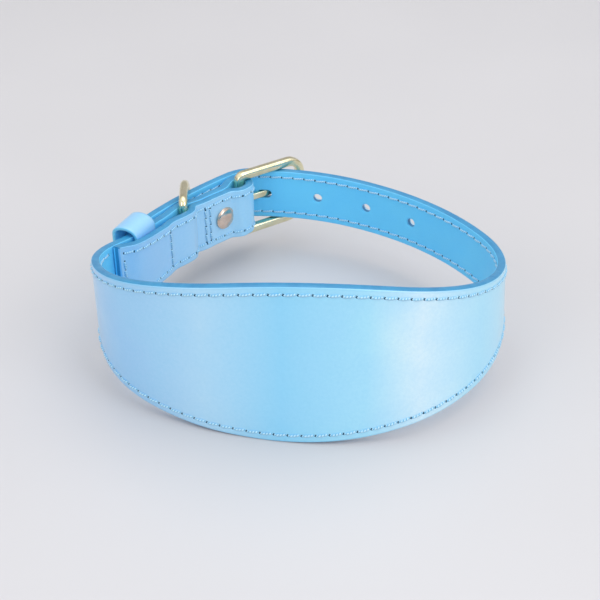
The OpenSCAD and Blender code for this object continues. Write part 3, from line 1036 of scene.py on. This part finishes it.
def pearl_leather():
    """Light blue leather with a pearl finish. Its colour drifts from left to right between aqua,
    periwinkle and lilac as a painted pearl sheen, with painted highlights where the strap turns at its
    two sides.
    """
    m = Shader(
        "pearl_leather", Metallic=0.12, Coat_Weight=0.7, Coat_Roughness=0.24,
        Specular_IOR_Level=0.6, Sheen_Weight=0.1,
    )
    split = m.add("ShaderNodeSeparateXYZ")
    m.link(m.position, split.inputs["Vector"])
    # Painted pearl sheen: the ramp across X paints the colour shift of the pearl finish, and its palest
    # stops paint the highlights where the strap turns at its sides.
    painted_pearl_sheen = m.ramp(m.spread(split.outputs["X"], -0.07, 0.07), [
        (0.1, srgb(148, 206, 252)), (0.29, srgb(184, 228, 255)), (0.46, srgb(142, 218, 254)),
        (0.64, srgb(170, 232, 254)), (0.76, srgb(226, 247, 255)), (0.9, srgb(176, 233, 255)),
    ])
    cloud = m.mix(m.spread(m.noise(26, 2), 0.35, 0.7), painted_pearl_sheen, srgb(158, 220, 255))
    soft = m.mix(0.45, painted_pearl_sheen, cloud)
    fine = m.mix(m.spread(m.noise(1.1, 4), 0.3, 0.75, 0.0, 0.16), soft, srgb(110, 200, 240))
    worn = m.mix(m.spread(m.attribute("inset"), 0.1, 0.9, 0.4, 0.0), fine, srgb(100, 190, 232))
    m.colour(worn)
    m.rough(m.noise(7, 4), 0.34, 0.46)
    m.bump(m.cells(0.55), 0.02, 0.5)
    m.bump(m.noise(0.25, 3), 0.01, 0.5)
    m.bump(m.noise(18, 2), 0.16, 0.4)
    return m.material


def edge_paint(name, main, dark):
    """Burnished edge paint: satin, slightly uneven along the strap."""
    m = Shader(name, Coat_Weight=0.35, Coat_Roughness=0.35, Specular_IOR_Level=0.5)
    streak = m.mix(m.spread(m.noise(6, 4), 0.35, 0.7), main, dark)
    speck = m.mix(m.spread(m.noise(0.7, 3), 0.55, 0.8, 0.0, 0.5), streak, dark)
    m.colour(speck)
    m.rough(m.noise(3, 3), 0.35, 0.55)
    m.bump(m.noise(1.6, 3), 0.05, 0.5)
    m.bump(m.noise(0.3, 2), 0.01, 0.6)
    return m.material


def lining_leather():
    """Smooth satin lining with fine pores."""
    m = Shader("matte_lining", Coat_Weight=0.15, Coat_Roughness=0.45, Specular_IOR_Level=0.4)
    tone = m.mix(m.spread(m.noise(18, 3), 0.3, 0.7), srgb(103, 208, 255), srgb(110, 213, 255))
    pores = m.mix(m.spread(m.cells(0.6), 0.0, 0.25, 0.35, 0.0), tone, srgb(72, 176, 220))
    worn = m.mix(m.spread(m.attribute("inset"), 0.1, 1.2, 0.35, 0.0), pores, srgb(120, 196, 236))
    m.colour(worn)
    m.rough(m.noise(5, 4), 0.42, 0.56)
    m.bump(m.cells(0.6), 0.02, 0.6)
    m.bump(m.noise(9, 3), 0.1, 0.3)
    return m.material


def pit_shadow():
    """Painted shade of a needle hole: a dark colour for the shade inside the hole."""
    m = Shader("needle_pit", Specular_IOR_Level=0.1)
    m.colour(m.mix(m.spread(m.noise(0.4, 2), 0.3, 0.7), srgb(14, 62, 92), srgb(24, 84, 118)))
    m.rough(m.noise(0.5, 2), 0.8, 0.95)
    return m.material


def thread():
    """Twisted synthetic thread, painted lighter on its crowns and darker between them: a painted
    highlight and shade along the twist.
    """
    m = Shader("thread", Sheen_Weight=0.2, Specular_IOR_Level=0.5)
    wave = m.add("ShaderNodeMath", operation="SINE")
    turns = m.add("ShaderNodeMath", operation="MULTIPLY")
    turns.inputs[1].default_value = 2 * math.pi
    m.link(m.attribute("twist"), turns.inputs[0])
    m.link(turns.outputs[0], wave.inputs[0])
    crown = m.spread(wave.outputs[0], -1, 1)
    # Painted light on the thread: crowns of the twist are painted lighter as a highlight, and the
    # hollows between them darker as shade.
    painted_ply_light = m.mix(crown, srgb(98, 180, 222), srgb(200, 236, 253))
    m.colour(m.mix(m.spread(m.noise(2.5, 2), 0.35, 0.7, 0.0, 0.4), painted_ply_light, srgb(170, 214, 240)))
    m.rough(m.noise(1, 2), 0.45, 0.6)
    m.bump(crown, 0.06, 0.8)
    return m.material


def plated_metal(name, bright, deep, low, high):
    """Polished plating with hairline scratches, faint clouding and a little wear."""
    m = Shader(name, Metallic=1.0)
    tone = m.mix(m.spread(m.noise(4, 4), 0.35, 0.7), bright, deep)
    m.colour(tone)
    m.rough(m.noise(1.8, 5), low, high)
    m.bump(m.noise(0.8, 2, stretch=(1, 1, 9)), 0.01, 0.25)
    m.bump(m.noise(5, 2), 0.05, 0.2)
    return m.material


def floor_paint():
    """Pale studio floor with a very soft sheen."""
    m = Shader("studio_floor", Specular_IOR_Level=0.35)
    m.colour(m.mix(m.spread(m.noise(220, 2), 0.3, 0.7), srgb(205, 204, 207), srgb(209, 208, 211)))
    m.rough(m.noise(60, 2), 0.36, 0.42)
    return m.material


# ---------------------------------------------------------------- the collar

def seam_rows(last, side):
    """Needles of the top and bottom seams of the face (side 1) or the lining (side -1)."""
    level = side * FACE
    return [(seam_needles(SEAM_START, last, row_side, level), level, side) for row_side in (1, -1)]


def cross_rows(places):
    """A row on the flap's face and one on the face of the layer behind it, at each place."""
    rows = []
    for s in places:
        rows.append((cross_needles(flap_u(s)), FACE, 1))
        rows.append((cross_needles(main_u(s)), FACE, 1))
    return rows


def build_strap(looks):
    """The three leather layers and every stitch."""
    rows = {
        "flap_end": cross_rows([FLAP_END_ROW]),
        "keeper": cross_rows([KEEPER_ROW]),
        "ring": cross_rows(RING_ROWS),
    }
    seams_out = seam_rows(float(flap_u(FLAP_END_ROW)), 1)
    seams_in = seam_rows(float(main_u(FLAP_END - LINING_SEAM_GAP)), -1)
    # Dark discs of painted shade mark the needle holes of every row.
    pits_out = [p for r in seams_out + sum(rows.values(), []) for p in pit_discs(*r)]
    pits_in = [p for r in seams_in for p in pit_discs(*r)]
    face = leather_layer(
        "face_leather_skin", (SKIN_EDGE, FACE, 1, True), (SKIN_BACK_EDGE, SKIN_BACK, 1, False),
        [looks.pearl, looks.pit], pits_out,
    )
    finish_piece(face, "collar", "pearl_leather", "face_leather")
    lining = leather_layer(
        "lining_skin", (SKIN_EDGE, FACE, -1, True), (SKIN_BACK_EDGE, SKIN_BACK, -1, False),
        [looks.lining, looks.pit], pits_in,
    )
    finish_piece(lining, "collar", "matte_lining", "lining_leather")
    core = leather_layer(
        "painted_core", (PAINT_EDGE, SKIN_BACK, 1, False), (PAINT_EDGE, SKIN_BACK, -1, False),
        [looks.edge],
    )
    finish_piece(core, "collar", "core_board", "strap_core")
    for number, side in enumerate(("top", "bottom")):
        piece = stitches(f"face_stitches_{side}", [seams_out[number]], looks.thread)
        finish_piece(piece, "collar", "thread", f"face_seam_{side}")
        piece = stitches(f"lining_stitches_{side}", [seams_in[number]], looks.thread)
        finish_piece(piece, "collar", "thread", f"lining_seam_{side}")
    for name, found in rows.items():
        piece = stitches(f"{name}_row_stitches", found, looks.thread)
        finish_piece(piece, "collar", "thread", f"{name}_stitching")


def build_hardware(looks):
    """Buckle, prong, lead ring, rivet and keeper."""
    finish_piece(buckle_frame(looks.gold), "frame", "gold_metal", "buckle_frame")
    finish_piece(buckle_prong(looks.gold), "prong", "gold_metal", "buckle_prong")
    finish_piece(lead_ring(looks.gold), "ring", "gold_metal", "lead_ring")
    neck_side = -float(flap_depth(RIVET)) - FACE
    tail_side = -float(layer_depth(RIVET)) + FACE
    cap = rivet_dome("rivet_cap_dome", neck_side, -1, looks.rivet)
    finish_piece(cap, "collar", "rivet_metal", "rivet_cap")
    post = rivet_dome("rivet_post_dome", tail_side, 1, looks.rivet)
    finish_piece(post, "collar", "rivet_metal", "rivet_post")
    keeper = keeper_loop(looks.pearl, looks.keeper_edge, looks.lining)
    finish_piece(keeper, "keeper", "pearl_leather", "keeper_loop")


# ---------------------------------------------------------------- studio

CAMERA_AIM = Vector((0.0, 0.0, 0.0103))
CAMERA_PITCH = math.radians(32.3)
CAMERA_DISTANCE = 0.411
CAMERA_LENS = 70.66
WORLD_LEVELS = [(0.0, 0.5), (0.1, 0.3), (0.25, 0.62), (0.6, 0.88)]
WORLD_STRENGTH = 1.1


def add_camera():
    data = bpy.data.cameras.new("camera")
    data.lens = CAMERA_LENS
    data.clip_start = 0.01
    camera = bpy.data.objects.new("camera", data)
    back = Vector((0, -math.cos(CAMERA_PITCH), math.sin(CAMERA_PITCH)))
    camera.location = CAMERA_AIM + CAMERA_DISTANCE * back
    camera.rotation_euler = (math.pi / 2 - CAMERA_PITCH, 0, 0)
    bpy.context.scene.collection.objects.link(camera)
    bpy.context.scene.camera = camera


def add_softbox(name, place, size, power, colour=(1, 1, 1)):
    """A rectangular light that faces the collar."""
    data = bpy.data.lights.new(name, "AREA")
    data.shape = "RECTANGLE"
    data.size, data.size_y = size
    data.energy = power
    data.color = colour
    light = bpy.data.objects.new(name, data)
    light.location = place
    light.rotation_euler = (-Vector(place)).to_track_quat("-Z", "Y").to_euler()
    bpy.context.scene.collection.objects.link(light)


def add_world():
    """Even pale surroundings, a little darker towards the horizon."""
    world = bpy.data.worlds.new("studio")
    bpy.context.scene.world = world
    world.use_nodes = True
    tree = world.node_tree
    coordinate = tree.nodes.new("ShaderNodeTexCoord")
    split = tree.nodes.new("ShaderNodeSeparateXYZ")
    ramp = tree.nodes.new("ShaderNodeValToRGB")
    tree.links.new(coordinate.outputs["Generated"], split.inputs["Vector"])
    tree.links.new(split.outputs["Z"], ramp.inputs["Fac"])
    while len(ramp.color_ramp.elements) < len(WORLD_LEVELS):
        ramp.color_ramp.elements.new(0.5)
    for element, (place, level) in zip(ramp.color_ramp.elements, WORLD_LEVELS):
        element.position = place
        element.color = (level, level, level, 1)
    background = tree.nodes["Background"]
    tree.links.new(ramp.outputs["Color"], background.inputs["Color"])
    background.inputs["Strength"].default_value = WORLD_STRENGTH


def add_floor(material):
    """A wide floor that curves up behind, made as one swept sheet."""
    half, front, back, rise, bend = 3.0, -4.0, 2.2, 2.0, 0.9
    profile = [(front, 0.0)] + [(y, 0.0) for y in np.linspace(front / 2, back - bend, 6)]
    turn = np.radians(np.linspace(-90, 0, 16))[1:]
    profile += [(back - bend + bend * math.cos(t), bend + bend * math.sin(t)) for t in turn]
    profile.append((back, rise))
    across = 9
    points = [(x, y, z) for y, z in profile for x in np.linspace(-half, half, across)]
    faces = [
        (k, k + 1, k + 1 + across, k + across)
        for k in range((len(profile) - 1) * across) if k % across < across - 1
    ]
    floor = make_mesh("studio_floor", points, faces, [material], SMOOTH_HARD)


add_camera()
looks = SimpleNamespace(
    pearl=pearl_leather(),
    lining=lining_leather(),
    edge=edge_paint("edge_paint", srgb(50, 148, 198), srgb(40, 132, 184)),
    keeper_edge=edge_paint("keeper_edge_paint", srgb(112, 200, 232), srgb(92, 184, 222)),
    pit=pit_shadow(),
    thread=thread(),
    gold=plated_metal("gold_plating", srgb(244, 237, 204), srgb(228, 219, 178), 0.12, 0.22),
    rivet=plated_metal("rose_plating", srgb(238, 214, 196), srgb(222, 196, 176), 0.16, 0.26),
)
build_strap(looks)
build_hardware(looks)

add_world()
add_floor(floor_paint())
add_softbox("overhead", (0.1, 0.2, 1.3), (1.2, 1.2), 5)
add_softbox("right_front", (0.9, -0.75, 0.7), (0.7, 0.9), 4, (1, 0.98, 1))
add_softbox("left_front", (-0.8, -0.8, 0.6), (0.5, 0.8), 2, (0.95, 0.97, 1))
bpy.context.scene.view_settings.view_transform = "Standard"
